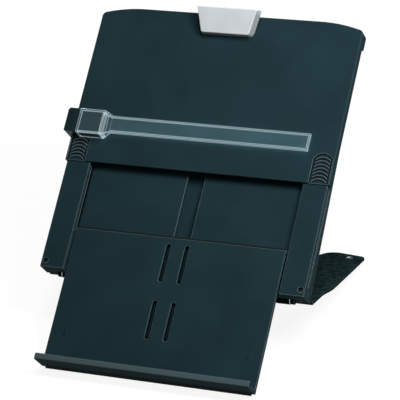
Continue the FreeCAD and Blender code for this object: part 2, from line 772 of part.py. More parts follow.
def leaf_place():
    """The leaf spring's low and high end up the board, and its back and front edge."""
    return guide_y + 5.3, guide_y + guide_height - 5.3, -skirt_depth * 0.7, -skirt_depth * 0.27


def make_guide_slider():
    left = -(cover_half + slide_gap + guide_wrap)
    inner = -(cover_half + slide_gap)
    low, high = guide_y, guide_y + guide_height
    step = cap_left - 0.2
    block = prism_z([(left, low, 1.5), (step, low, 0), (step, high, 0), (left, high, 3.0)],
                    -skirt_depth - slide_gap, guide_block_height)
    block = block.cut(box(inner, 0, low - 1, high + 1, -skirt_depth - 1, slide_gap))
    top_rim = edges_where(block, lambda b: b.ZMin > guide_block_height - 0.01)
    block = block.makeChamfer(0.6, top_rim)
    boss = box(cap_left + cap_wall + 0.2, cap_right - cap_wall - 0.2, cap_low + cap_wall + 0.2,
               cap_high - cap_wall - 0.2, slide_gap, cap_height - cap_wall - 0.2)
    base = box(step - 1, cap_right - cap_wall - 0.2, guide_y, cap_high - cap_wall - 0.2,
               slide_gap, bar_lift - 0.2)
    low, high, back, front = leaf_place()
    spring_room = box(inner - leaf_bow - leaf_thickness - 0.3, inner + 1, low - 0.6, high + 0.6,
                      back - 0.3, front + 0.3)
    pegs = [cylinder_z(peg_radius + seat_gap, inner - guide_wrap / 2, y, -skirt_depth - 1,
                       -skirt_depth + peg_length) for y in peg_places()]
    return joined(block, boss, base).cut([spring_room] + pegs)


def make_guide_retainer():
    inner = -(cover_half + slide_gap)
    left = inner - guide_wrap
    seat = -skirt_depth - slide_gap
    plate = prism_z([(left, guide_y + 0.5, 1.5), (-body_half - 0.8, guide_y + 0.5, 0.8),
                     (-body_half - 0.8, guide_y + guide_height - 1.2, 0.8),
                     (left, guide_y + guide_height - 1.2, 2.5)], seat - retainer_wall, seat)
    pegs = [cylinder_z(peg_radius, inner - guide_wrap / 2, y, seat - 0.5, seat + peg_length)
            for y in peg_places()]
    return joined(plate, *pegs)


def make_guide_spring():
    """Bowed leaf between the slider's side wall and the cover's skirt."""
    inner = -(cover_half + slide_gap)
    ends = inner - leaf_bow
    crown = -cover_half - slide_gap * 0.75
    low, high, z0, z1 = leaf_place()
    outer = [Vector(ends, low, z0), Vector(crown, (low + high) / 2, z0), Vector(ends, high, z0)]
    inner_arc = [point - Vector(leaf_thickness, 0, 0) for point in outer]
    outline = Part.Wire([Part.Arc(*outer).toShape(), Part.makeLine(outer[2], inner_arc[2]),
                         Part.Arc(*reversed(inner_arc)).toShape(), Part.makeLine(inner_arc[0], outer[0])])
    return Part.Face(outline).extrude(Vector(0, 0, z1 - z0))


def ramp(x0, x1, wide, narrow):
    """Loft from a rectangle (low, high, bottom, top) at x0 to another at x1."""
    wires = []
    for x, (low, high, bottom, top) in ((x0, wide), (x1, narrow)):
        corners = [Vector(x, low, bottom), Vector(x, high, bottom), Vector(x, high, top), Vector(x, low, top)]
        wires.append(Part.makePolygon(corners + corners[:1]))
    return Part.makeLoft(wires, True, True)


def make_guide_arm():
    """Clear cap over the slider, ramp down to the page, and the flat bar with its raised rims."""
    cap = prism_z([(cap_left, cap_low, 1.2), (cap_right, cap_low, 0), (cap_right, cap_high, 0),
                   (cap_left, cap_high, 1.2)], bar_lift, cap_height)
    top_rim = edges_where(cap, lambda b: b.ZMin > cap_height - 0.01 and b.XMin < cap_right - 0.01)
    cap = cap.makeChamfer(0.5, top_rim)
    bar_top = bar_lift + bar_rim
    slope = ramp(cap_right, bar_left, (cap_low, cap_high, bar_lift, cap_height),
                 (bar_low, bar_high, bar_lift, bar_top))
    rim = box(bar_left, bar_right, bar_low, bar_high, bar_lift, bar_top)
    arm = joined(cap, slope, rim)
    hollow = box(cap_left + cap_wall, cap_right - cap_wall, cap_low + cap_wall, cap_high - cap_wall,
                 0, cap_height - cap_wall)
    under_slope = ramp(cap_right - 0.2, bar_left - 1.2,
                       (cap_low + cap_wall, cap_high - cap_wall, 0, cap_height - cap_wall - 0.6),
                       (bar_low + cap_wall, bar_high - cap_wall, 0, bar_lift + 0.3))
    tray = box(bar_left, bar_right - bar_rim_width, bar_low + bar_rim_width, bar_high - bar_rim_width,
               bar_lift + bar_web, bar_top + 1)
    return arm.cut([hollow, under_slope, tray])


def desk_angle():
    """Angle of the board at which the ledge strip and the leg's feet reach the same desk."""
    turn = math.radians(leg_opening)
    tip_y = hinge_y + leg_length * math.cos(turn) + leg_bottom * math.sin(turn)
    tip_z = hinge_z - leg_length * math.sin(turn) + leg_bottom * math.cos(turn)
    rise = tip_y - tray_bottom
    depth = tray_back - tip_z
    reach = math.hypot(rise, depth)
    return math.atan2(depth, rise) + math.asin((desk_clearance - strip_thickness) / reach)


angle = desk_angle()
desk = -(tray_bottom * math.sin(angle) + tray_back * math.cos(angle)) + strip_thickness
foot_y_row = tray_bottom * math.cos(angle) - tray_back * math.sin(angle)


def stand(shape):
    """Move a shape from the board's frame to the desk's."""
    shape.rotate(Vector(0, 0, 0), Vector(1, 0, 0), math.degrees(angle))
    shape.translate(Vector(0, -foot_y_row, desk))
    return shape


def open_leg(shape):
    """Move a shape from the leg's frame to the board's."""
    shape.rotate(Vector(0, 0, 0), Vector(1, 0, 0), -leg_opening)
    shape.translate(Vector(0, hinge_y, hinge_z))
    return shape


def export(node, shapes):
    if not isinstance(shapes, (list, tuple)):
        shapes = [shapes]
    solids = [stand(solid) for shape in shapes for solid in shape.Solids]
    shape = solids[0] if len(solids) == 1 else Part.makeCompound(solids)
    shape.exportStep("parts/" + node + ".step")
    state = "ok" if all(solid.isValid() for solid in solids) else "INVALID"
    print(node, len(solids), state, round(sum(solid.Volume for solid in solids), 1))


os.makedirs("parts", exist_ok=True)

hinge_height = hinge_y * math.sin(angle) + hinge_z * math.cos(angle) + desk
leg_slope = angle - math.radians(leg_opening)

export("body_front", make_body_front())
export("body_back", make_body_back())
export("body_screws", make_body_screws())
export("hinge_pin_left", make_hinge_pin(-1))
export("hinge_pin_right", make_hinge_pin(1))
export("hinge_washers", make_hinge_washers())

export("cover_panel", make_cover_panel())
export("hood_back", make_hood_back())
export("hood_screws", make_hood_screws())
export("clip_base", make_clip_base())
export("clip_base_screws", make_clip_base_screws())
export("clip_pin", make_clip_pin())
export("clip_spring", make_clip_spring())

export("clip_lever", make_clip_lever())
export("clip_pad", make_clip_pad())

export("tray", make_tray())
export("ledge_foot_strip", make_ledge_foot_strip(angle))

export("leg_plate", open_leg(make_leg_plate()))
export("leg_foot_left", open_leg(make_leg_foot(-1, leg_slope, hinge_height)))
export("leg_foot_right", open_leg(make_leg_foot(1, leg_slope, hinge_height)))

export("guide_slider", make_guide_slider())
export("guide_retainer", make_guide_retainer())
export("guide_spring", make_guide_spring())
export("guide_arm", make_guide_arm())

print("board angle", round(math.degrees(angle), 3))
print("cover travel", round(cover_travel, 3), "tray travel", round(tray_travel, 3))
print("guide travel down", round(guide_travel_down, 3), "up", round(guide_travel_up, 3))
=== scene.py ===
"""Looks of the desk copy holder: finishes, fasteners, spring, marks, stage and camera."""
import json
import math

import bpy
from bpy.props import FloatProperty, FloatVectorProperty, IntProperty, PointerProperty
from mathutils import Euler, Matrix, Vector


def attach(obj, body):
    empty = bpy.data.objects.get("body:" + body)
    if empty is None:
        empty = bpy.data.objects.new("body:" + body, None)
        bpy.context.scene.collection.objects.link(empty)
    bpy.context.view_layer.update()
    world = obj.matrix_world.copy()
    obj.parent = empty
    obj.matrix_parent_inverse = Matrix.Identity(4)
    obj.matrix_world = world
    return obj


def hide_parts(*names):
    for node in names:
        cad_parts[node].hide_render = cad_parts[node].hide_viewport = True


bl_info = {
    "name": "Copy Holder Looks",
    "version": (1, 0, 0),
    "blender": (4, 5, 0),
    "location": "3D View > Sidebar > Copy Holder",
    "description": "Dresses the packed copy holder with its finishes and small fittings",
    "category": "Object",
}

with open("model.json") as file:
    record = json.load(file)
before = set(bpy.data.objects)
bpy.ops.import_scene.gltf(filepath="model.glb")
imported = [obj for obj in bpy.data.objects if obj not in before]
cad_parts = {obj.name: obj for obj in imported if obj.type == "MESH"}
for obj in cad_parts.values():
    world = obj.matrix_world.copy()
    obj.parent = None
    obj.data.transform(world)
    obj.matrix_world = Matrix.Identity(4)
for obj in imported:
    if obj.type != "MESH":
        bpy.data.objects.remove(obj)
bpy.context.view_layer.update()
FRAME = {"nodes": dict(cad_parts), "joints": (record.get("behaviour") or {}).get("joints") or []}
NODES = FRAME["nodes"]
MM = 0.001
SIDES = (-1, 1)
WHITE = (1.0, 1.0, 1.0, 1.0)

FLOAT = "NodeSocketFloat"
WHOLE = "NodeSocketInt"
VECTOR = "NodeSocketVector"

# Lengths are in millimetres, and places lie in the board's frame: X right, Y up the board, Z out of
# its front. The clip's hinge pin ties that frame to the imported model.
CLIP_PIN = (0.0, 168.5, 6.2)

# Angle between the leg and the board as the holder stands, in degrees
LEG_OPENING = 52.0
# Stud of a foot, in the leg's frame: origin on the hinge, Y towards the feet, Z out of its upper face
STUD_X = 136.4
STUD_Y = 155.5
STUD_Z = -3.1
STUD_HEIGHT = 1.5

# Thumb grips: their middle and top, the height of the ribs' middle, and the arc that each rib follows
GRIP_X = 135.5
GRIP_TOP = 30.0
RIB_LEVEL = -0.55
RIB_ARC = 12.2
RIB_HALF_SPAN = 8.0
RIB_HALF_WIDTH = 0.65
RIB_PITCH = 4.0

# Tray: its face and upper edge, the front of its ledge and how deep the lighter band on it reaches, a
# painted highlight on the lip, then the dark strip along its upper edge, which is a painted shadow in the
# gap above it, and the marks near its ledge
TRAY_FACE = -4.5
TRAY_TOP = -73.4
LEDGE_FRONT = 17.0
LEDGE_LIT_BAND = 1.5
SHADOW_STRIP_HALF_LENGTH = 115.0
SHADOW_STRIP_HEIGHT = 2.0
SHADOW_STRIP_GAP = 0.05
SHADOW_STRIP_SINK = 0.5
SHADOW_STRIP_DEPTH = 2.4
MARK_X = 100.8
MARK_Y = -189.0
MARK_PROUD = 0.06
MARK_ARROW = [(-0.5, 4.0), (0.5, 4.0), (0.5, -0.6), (1.7, -0.6), (0.0, -3.6), (-1.7, -0.6), (-0.5, -0.6)]
MARK_DOT_RADIUS = 0.8
MARK_DOT_RISE = 6.2
MARK_DOT_POINTS = 16

# Clip spring: pitch of its coil, length of its legs, and how far each leg bends off the coil
SPRING_PITCH = 1.9
SPRING_LEG = 8.0
SPRING_SEAT_DROP = 1.25
SPRING_LIFT = 0.9

# Screws: X and Y of each one
BODY_SCREWS = [(side * x, y) for side in SIDES for x, y in ((141.0, -113.5), (138.0, 38.0))]
HOOD_SCREWS = [(x, 170.0) for x in (-110.0, 0.0, 110.0)]
CLIP_SCREWS = [(side * 15.0, 168.5) for side in SIDES]
THREAD_PITCH = 1.2

# Lamps and camera, in metres and degrees. The key lamp and the camera are placed in the board's frame.
KEY_PLACE = (0.55, 0.25, 0.60)
KEY_SIZE = (0.25, 0.45)
TOP_PLACE = (0.35, 0.10, 2.50)
TOP_SIZE = (0.5, 0.5)
TOP_AIM = (0.0, 0.12, 0.12)
REAR_PLACE = (-0.7, 1.9, 0.55)
REAR_SIZE = (0.8, 0.5)
REAR_AIM = (0.0, 0.15, 0.12)
FLOOR_SIZE = 40.0
CAMERA_PLACE = (0.85996, -0.76876, 2.03100)
CAMERA_TURN = (23.19191, 17.80758, 13.37877)
CAMERA_REACH = 100.0
SENSOR_WIDTH = 36.0

# Painted edge highlight tone of each finish, tones of the two darker steels, and shine of the clear guide
GRIP_HIGHLIGHT = (0.030, 0.055, 0.063)
LEG_HIGHLIGHT = (0.03, 0.04, 0.042)
SLIDER_HIGHLIGHT = (0.03, 0.05, 0.055)
RUBBER_HIGHLIGHT = (0.03, 0.032, 0.034)
STUD_HIGHLIGHT = (0.02, 0.03, 0.032)
SILVER_HIGHLIGHT = (0.82, 0.85, 0.87)
BLACKENED = (0.02, 0.022, 0.024)
SPRING_STEEL = (0.30, 0.31, 0.32)
CLEAR_SHINE = (0.16, 0.21, 0.23)


def joint(name):
    return next(j for j in FRAME["joints"] if j["name"] == name)


def board_lean():
    """Turn of the board about X, from the way that its cover slides."""
    up = joint("cover_slide")["axis"]
    return math.atan2(up[2], up[1])


def board_matrix():
    """Board frame to the model's frame, in metres."""
    tilt = Matrix.Rotation(board_lean(), 4, "X")
    pin = Vector(joint("clip_hinge")["pos_m"])
    return Matrix.Translation(pin - tilt @ (Vector(CLIP_PIN) * MM)) @ tilt


def leg_matrix():
    """Leg frame to the model's frame, in metres."""
    turn = Matrix.Rotation(board_lean() - math.radians(LEG_OPENING), 4, "X")
    return Matrix.Translation(Vector(joint("leg_hinge")["pos_m"])) @ turn


BOARD = board_matrix()
LEG = leg_matrix()


def colour(label, value, note):
    return FloatVectorProperty(name=label, description=note, default=value, size=3, min=0.0, max=1.0,
                               subtype="COLOR")


def length(label, millimetres, note):
    return FloatProperty(name=label, description=note, default=millimetres * MM, precision=5,
                         subtype="DISTANCE", unit="LENGTH")


def power(label, watts, note):
    return FloatProperty(name=label, description=note, default=watts, min=0.0, unit="POWER")


def share(label, value, note):
    return FloatProperty(name=label, description=note, default=value, min=0.0, max=1.0, subtype="FACTOR")


class HolderFinishes(bpy.types.PropertyGroup):
    """Colours and surface textures of the copy holder."""
    shell: colour("Shell", (0.0138, 0.0335, 0.0410), "Matt moulded plastic of cover, body and tray")
    # Pale tone of the painted highlight along the moulded edges, which stands in for light caught there
    shell_edge_highlight: colour("Shell Edge", (0.115, 0.160, 0.172), "Paler tone along the moulded edges")
    leg: colour("Leg", (0.0095, 0.0200, 0.0205), "Coarsely grained plastic of the leg")
    slider: colour("Slider", (0.0060, 0.0175, 0.0210), "Smooth plastic of the guide's slider")
    silver: colour("Clip", (0.60, 0.645, 0.67), "Satin silver of the clip lever")
    clear: colour("Guide", (0.93, 0.97, 0.98), "Clear acrylic of the line guide")
    rubber: colour("Rubber", (0.010, 0.011, 0.012), "Feet, ledge strip and clip pad")
    steel: colour("Steel", (0.50, 0.51, 0.52), "Pins, washers and screws")
    # Also the colour of the dark strip along the tray's upper edge, which is a painted shadow
    marks: colour("Marks", (0.0030, 0.0060, 0.0070), "Dark marks and wiper strip of the tray")
    # Colour of the painted glow along the guide's outer edges, standing in for light that they catch
    painted_rim_glow: colour("Guide Edge", (0.22, 0.28, 0.30), "Light that the guide's outer edges give out")
    shell_grain: length("Shell Grain", 0.35, "Width of one grain of the shell's texture")
    leg_grain: length("Leg Grain", 1.1, "Width of one grain of the leg's texture")
    edge_round: length("Edge Rounding", 0.9, "Radius that the light sees on moulded edges")
    # Width of the band of painted highlight along outer edges
    edge_highlight_width: length("Edge Wear", 0.70, "Width of the paler band along outer edges")
    # Reach of the painted shade that darkens slots and inner corners
    crevice: length("Crevice", 3.5, "Reach of the darkening in slots and inner corners")
    # Width of the band of painted glow along the guide's edges
    painted_rim_width: length("Guide Rim", 1.2, "Width of the bright band along the guide's edges")


class HolderFittings(bpy.types.PropertyGroup):
    """Sizes of the fittings that are made here."""
    rib_bead: length("Rib Bead", 0.55, "Radius of the bead along each grip rib")
    screw_head: length("Screw Head", 2.5, "Radius of a screw's head")
    screw_shank: length("Screw Shank", 1.4, "Radius of a screw's thread")
    spring_coil: length("Spring Coil", 2.6, "Radius of the clip spring's coil")
    spring_wire: length("Spring Wire", 0.45, "Radius of the clip spring's wire")
    spring_turns: FloatProperty(name="Spring Turns", description="Turns of the clip spring",
                                default=8.5, min=1.0, max=20.0)
    rib_count: IntProperty(name="Grip Ribs", description="Curved ribs in each thumb grip", default=7,
                           min=1, max=12)
    stud: length("Foot Stud", 3.4, "Radius of the domed stud over each foot")


class HolderStage(bpy.types.PropertyGroup):
    """Lights and surroundings."""
    key: power("Key Light", 6.3, "Power of the lamp up to the right of the board")
    top: power("Top Light", 20.0, "Power of the overhead lamp")
    rear: power("Rear Light", 11.0, "Power of the low lamp behind")
    ambient: share("Ambient", 0.10, "Strength of the surroundings")
    floor_glow: share("Floor White", 0.90, "Share of the floor's white that it gives itself")
    floor_shade: share("Floor Shade", 0.16, "Grey of the floor that takes light and shadow")
    focal: FloatProperty(name="Focal Length", description="Of the camera", default=202.98, unit="CAMERA")


def new_material(name):
    material = bpy.data.materials.new(name)
    material.use_nodes = True
    tree = material.node_tree
    return material, tree, tree.nodes["Principled BSDF"]


def set_plain(node, values):
    """Set sockets to values that are the same all over the surface."""
    for key, value in values.items():
        node.inputs[key].default_value = value


def add_node(tree, kind, inputs=None, **settings):
    """New node with its settings made and each input linked to a socket or set to a value."""
    node = tree.nodes.new(kind)
    for key, value in settings.items():
        setattr(node, key, value)
    for key, value in (inputs or {}).items():
        if isinstance(value, bpy.types.NodeSocket):
            tree.links.new(value, node.inputs[key])
        else:
            node.inputs[key].default_value = value
    return node


def shader_group(name, inputs, outputs):
    """New shader node group with inputs (label, type, default) and outputs (label, type)."""
    group = bpy.data.node_groups.new(name, "ShaderNodeTree")
    for label, kind, value in inputs:
        socket = group.interface.new_socket(name=label, in_out="INPUT", socket_type=kind)
        socket.default_value = value
    for label, kind in outputs:
        group.interface.new_socket(name=label, in_out="OUTPUT", socket_type=kind)
    return group, group.nodes.new("NodeGroupInput"), group.nodes.new("NodeGroupOutput")


def make_edge_group():
    """Mask for the painted highlight along outer edges, openness for the painted shade in crevices, and
    the rounding normal.
    """
    samples = 8
    # Share of open sky at which the painted shade is darkest, and at which it is gone
    shut = 0.70
    wide_open = 0.93
    group, source, result = shader_group(
        "moulded_edge", [("Radius", FLOAT, 0.0005), ("Width", FLOAT, 0.0005), ("Reach", FLOAT, 4.0),
                         ("Crevice", FLOAT, 0.003)],
        [("Mask", FLOAT), ("Open", FLOAT), ("Normal", VECTOR)])
    bevel = add_node(group, "ShaderNodeBevel", {"Radius": source.outputs["Radius"]}, samples=6)
    inside = add_node(group, "ShaderNodeAmbientOcclusion", {"Distance": source.outputs["Width"]},
                      inside=True, only_local=True, samples=samples)
    gap = add_node(group, "ShaderNodeMath", {0: 1.0, 1: inside.outputs["AO"]}, operation="SUBTRACT")
    lift = add_node(group, "ShaderNodeMath", {0: gap.outputs[0], 1: source.outputs["Reach"]},
                    operation="MULTIPLY", use_clamp=True)
    around = add_node(group, "ShaderNodeAmbientOcclusion", {"Distance": source.outputs["Crevice"]},
                      only_local=True, samples=samples)
    openness = add_node(group, "ShaderNodeMapRange", {"Value": around.outputs["AO"], "From Min": shut,
                                                      "From Max": wide_open})
    group.links.new(lift.outputs[0], result.inputs["Mask"])
    group.links.new(openness.outputs[0], result.inputs["Open"])
    group.links.new(bevel.outputs[0], result.inputs["Normal"])
    return group


def make_grain_group():
    """Fine moulded grain as a height, with a slow cloudiness for colour."""
    group, source, result = shader_group(
        "moulded_grain", [("Grain", FLOAT, 0.0004), ("Cloud", FLOAT, 0.04)],
        [("Height", FLOAT), ("Cloud", FLOAT)])
    spot = add_node(group, "ShaderNodeTexCoord").outputs["Object"]
    fine = add_node(group, "ShaderNodeMath", {0: 1.0, 1: source.outputs["Grain"]}, operation="DIVIDE")
    pits = add_node(group, "ShaderNodeTexVoronoi", {"Vector": spot, "Scale": fine.outputs[0]},
                    feature="SMOOTH_F1")
    noise = add_node(group, "ShaderNodeTexNoise", {"Vector": spot, "Scale": fine.outputs[0],
                                                   "Detail": 3.0})
    height = add_node(group, "ShaderNodeMath", {0: pits.outputs["Distance"], 1: noise.outputs[0]},
                      operation="MULTIPLY")
    slow = add_node(group, "ShaderNodeMath", {0: 1.0, 1: source.outputs["Cloud"]}, operation="DIVIDE")
    cloud = add_node(group, "ShaderNodeTexNoise", {"Vector": spot, "Scale": slow.outputs[0],
                                                   "Detail": 4.0})
    group.links.new(height.outputs[0], result.inputs["Height"])
    group.links.new(cloud.outputs[0], result.inputs["Cloud"])
    return group


def make_line_group():
    """Fine lines along X, for drawn wire and turned steel."""
    stretch = (0.02, 1.0, 1.0)
    group, source, result = shader_group("drawn_lines", [("Width", FLOAT, 0.0002)], [("Height", FLOAT)])
    spot = add_node(group, "ShaderNodeTexCoord").outputs["Object"]
    fine = add_node(group, "ShaderNodeMath", {0: 1.0, 1: source.outputs["Width"]}, operation="DIVIDE")
    drawn = add_node(group, "ShaderNodeMapping", {"Vector": spot, "Scale": stretch})
    noise = add_node(group, "ShaderNodeTexNoise", {"Vector": drawn.outputs[0], "Scale": fine.outputs[0],
                                                   "Detail": 2.0})
    group.links.new(noise.outputs[0], result.inputs["Height"])
    return group


GROUPS = {}


def place_group(tree, name, inputs):
    node = tree.nodes.new("ShaderNodeGroup")
    node.node_tree = GROUPS[name]
    set_plain(node, inputs)
    return node


def clouded(tree, texture, low, high):
    """Number that drifts between low and high with the texture's cloudiness."""
    drift = add_node(tree, "ShaderNodeMapRange", {"Value": texture.outputs["Cloud"], "From Min": 0.3,
                                                  "From Max": 0.7, "To Min": low, "To Max": high})
    return drift.outputs[0]


def tint(tree, base, level):
    """The base colour made lighter or darker by a level."""
    return add_node(tree, "ShaderNodeVectorMath", {0: tuple(base), "Scale": level},
                    operation="SCALE").outputs[0]


def colour_with_highlight(tree, bsdf, tinted, highlight_tone, mask):
    """Colour the surface, going from the tinted colour to the painted highlight tone where the mask is
    high.
    """
    mixed = add_node(tree, "ShaderNodeMix", {"Factor": mask}, data_type="RGBA")
    tree.links.new(tinted, mixed.inputs["A"])
    mixed.inputs["B"].default_value = (*highlight_tone, 1.0)
    tree.links.new(mixed.outputs["Result"], bsdf.inputs["Base Color"])


def bump(tree, bsdf, height, normal, strength, depth):
    """Roughen the surface by a height, to a depth in millimetres, over the rounding normal."""
    bumped = add_node(tree, "ShaderNodeBump", {"Strength": strength, "Distance": depth * MM,
                                               "Height": height, "Normal": normal})
    tree.links.new(bumped.outputs[0], bsdf.inputs["Normal"])


def above_board(tree, height):
    """Half where a point stands higher above the board than the height in millimetres, and else zero."""
    out = BOARD.to_3x3().col[2]
    start = out.dot(BOARD.translation) + height * MM
    spot = add_node(tree, "ShaderNodeTexCoord").outputs["Object"]
    rise = add_node(tree, "ShaderNodeVectorMath", {0: spot, 1: tuple(out)}, operation="DOT_PRODUCT")
    band = add_node(tree, "ShaderNodeMapRange", {"Value": rise.outputs["Value"], "From Min": start,
                                                 "From Max": start + MM, "To Max": 0.5})
    return band.outputs[0]


def moulded(name, base, highlight_tone, relief, roughness, specular, grain=None, edge=None, cloud=0.12,
            cloud_size=50.0, painted_light_above=None):
    """Moulded plastic: grain, slight cloudiness, a painted highlight along outer edges and painted shade
    in crevices.

    edge, in millimetres, stands in for the usual rounding and the width of the painted edge highlight.
    What is higher above the board than the last argument, in millimetres, goes halfway to the highlight
    tone, a painted highlight on the tray's lip.
    """
    # Darkest level of the painted shade in slots and inner corners
    darkest_painted_shade = 0.05
    finish = bpy.context.scene.holder_finishes
    material, tree, bsdf = new_material(name)
    edges = place_group(tree, "edge", {"Radius": edge * MM if edge else finish.edge_round,
                                       "Width": edge * MM if edge else finish.edge_highlight_width,
                                       "Crevice": finish.crevice})
    texture = place_group(tree, "grain", {"Grain": grain or finish.shell_grain, "Cloud": cloud_size * MM})
    drift = clouded(tree, texture, 1.0 - cloud, 1.0 + cloud)
    # Painted shade: the colour darkens in slots and inner corners, where less sky is open
    painted_shade_level = add_node(tree, "ShaderNodeMapRange", {"Value": edges.outputs["Open"], "To Min": darkest_painted_shade})
    level = add_node(tree, "ShaderNodeMath", {0: drift, 1: painted_shade_level.outputs[0]}, operation="MULTIPLY")
    # Painted highlight: outer edges go towards the paler tone
    mask = edges.outputs["Mask"]
    # Painted highlight on the tray's lip: what stands high above the board goes halfway to the pale tone
    if painted_light_above is not None:
        mask = add_node(tree, "ShaderNodeMath", {0: mask, 1: above_board(tree, painted_light_above)},
                        operation="MAXIMUM").outputs[0]
    colour_with_highlight(tree, bsdf, tint(tree, base, level.outputs[0]), highlight_tone, mask)
    bump(tree, bsdf, texture.outputs["Height"], edges.outputs["Normal"], relief, 0.3)
    rough = add_node(tree, "ShaderNodeMapRange", {"Value": texture.outputs["Height"], "From Min": 0.0,
                                                  "From Max": 0.5, "To Min": roughness - 0.05,
                                                  "To Max": roughness + 0.08})
    tree.links.new(rough.outputs[0], bsdf.inputs["Roughness"])
    set_plain(bsdf, {"Specular IOR Level": specular})
    return material


def satin_silver(finish):
    """Satin silver with a fine flake, a slight cloudiness and a painted highlight along outer edges."""
    material, tree, bsdf = new_material("clip_silver")
    edges = place_group(tree, "edge", {"Radius": finish.edge_round, "Width": finish.edge_highlight_width})
    texture = place_group(tree, "grain", {"Grain": 0.25 * MM, "Cloud": 20.0 * MM})
    tinted = tint(tree, finish.silver, clouded(tree, texture, 0.93, 1.05))
    # Painted highlight: outer edges go towards a paler silver
    colour_with_highlight(tree, bsdf, tinted, SILVER_HIGHLIGHT, edges.outputs["Mask"])
    bump(tree, bsdf, texture.outputs["Height"], edges.outputs["Normal"], 0.15, 0.1)
    set_plain(bsdf, {"Metallic": 0.35, "Roughness": 0.38})
    return material


def clear_acrylic(finish):
    """Clear acrylic whose outer edges have a painted glow, given out as emission, in place of light they
    catch.
    """
    material, tree, bsdf = new_material("clear_acrylic")
    edges = place_group(tree, "edge", {"Radius": 0.4 * MM, "Width": finish.painted_rim_width, "Reach": 8.0})
    # Painted glow: the outer edges give out light though they are no lamp
    tree.links.new(tint(tree, finish.painted_rim_glow, edges.outputs["Mask"]), bsdf.inputs["Emission Color"])
    tree.links.new(edges.outputs["Normal"], bsdf.inputs["Normal"])
    set_plain(bsdf, {"Emission Strength": 1.0, "Specular Tint": (*CLEAR_SHINE, 1.0),
                     "Base Color": (*finish.clear, 1.0), "Transmission Weight": 1.0,
                     "Roughness": 0.04, "IOR": 1.49})
    material.cycles.emission_sampling = "NONE"
    return material


def drawn_steel(name, base, roughness):
    """Steel with fine drawn lines."""
    material, tree, bsdf = new_material(name)
    edges = place_group(tree, "edge", {"Radius": 0.2 * MM, "Width": 0.2 * MM})
    lines = place_group(tree, "lines", {"Width": 0.2 * MM})
    bump(tree, bsdf, lines.outputs["Height"], edges.outputs["Normal"], 0.2, 0.1)
    rough = add_node(tree, "ShaderNodeMapRange", {"Value": lines.outputs["Height"], "From Min": 0.2,
                                                  "From Max": 0.8, "To Min": roughness - 0.08,
                                                  "To Max": roughness + 0.1})
    tree.links.new(rough.outputs[0], bsdf.inputs["Roughness"])
    set_plain(bsdf, {"Base Color": (*base, 1.0), "Metallic": 1.0})
    return material


def make_materials():
    """Every finish by its short name."""
    finish = bpy.context.scene.holder_finishes
    GROUPS.update(edge=make_edge_group(), grain=make_grain_group(), lines=make_line_group())
    matt = {"relief": 0.35, "roughness": 0.60, "specular": 0.01}
    return {
        "shell": moulded("shell_plastic", finish.shell, finish.shell_edge_highlight, **matt),
        "tray": moulded("tray_plastic", finish.shell, finish.shell_edge_highlight, painted_light_above=LEDGE_FRONT - LEDGE_LIT_BAND,
                        **matt),
        "leg": moulded("leg_plastic", finish.leg, LEG_HIGHLIGHT, relief=1.0, roughness=0.8, specular=0.0,
                       grain=finish.leg_grain, cloud=0.6, cloud_size=6.0),
        "grip": moulded("grip_plastic", finish.shell, GRIP_HIGHLIGHT, **matt),
        "slider": moulded("slider_plastic", finish.slider, SLIDER_HIGHLIGHT, relief=0.12, roughness=0.32,
                          specular=0.05),
        "rubber": moulded("rubber", finish.rubber, RUBBER_HIGHLIGHT, relief=0.5, roughness=0.75, specular=0.10),
        "stud": moulded("polished_stud", finish.slider, STUD_HIGHLIGHT, relief=0.02, roughness=0.12,
                        specular=0.5, edge=0.1),
        "dark_steel": drawn_steel("blackened_steel", BLACKENED, 0.5),
        "marks": moulded("tray_marks", finish.marks, finish.marks, relief=0.2, roughness=0.6,
                         specular=0.1, edge=0.1),
        "silver": satin_silver(finish),
        "clear": clear_acrylic(finish),
        "steel": drawn_steel("bright_steel", finish.steel, 0.28),
        "wire": drawn_steel("spring_wire", SPRING_STEEL, 0.34),
    }


MATERIALS = {}


def dress(node, finish):
    """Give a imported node's material slots one of the finishes."""
    mesh = NODES[node].data
    if not mesh.materials:
        mesh.materials.append(MATERIALS[finish])
    for slot in NODES[node].material_slots:
        slot.material = MATERIALS[finish]


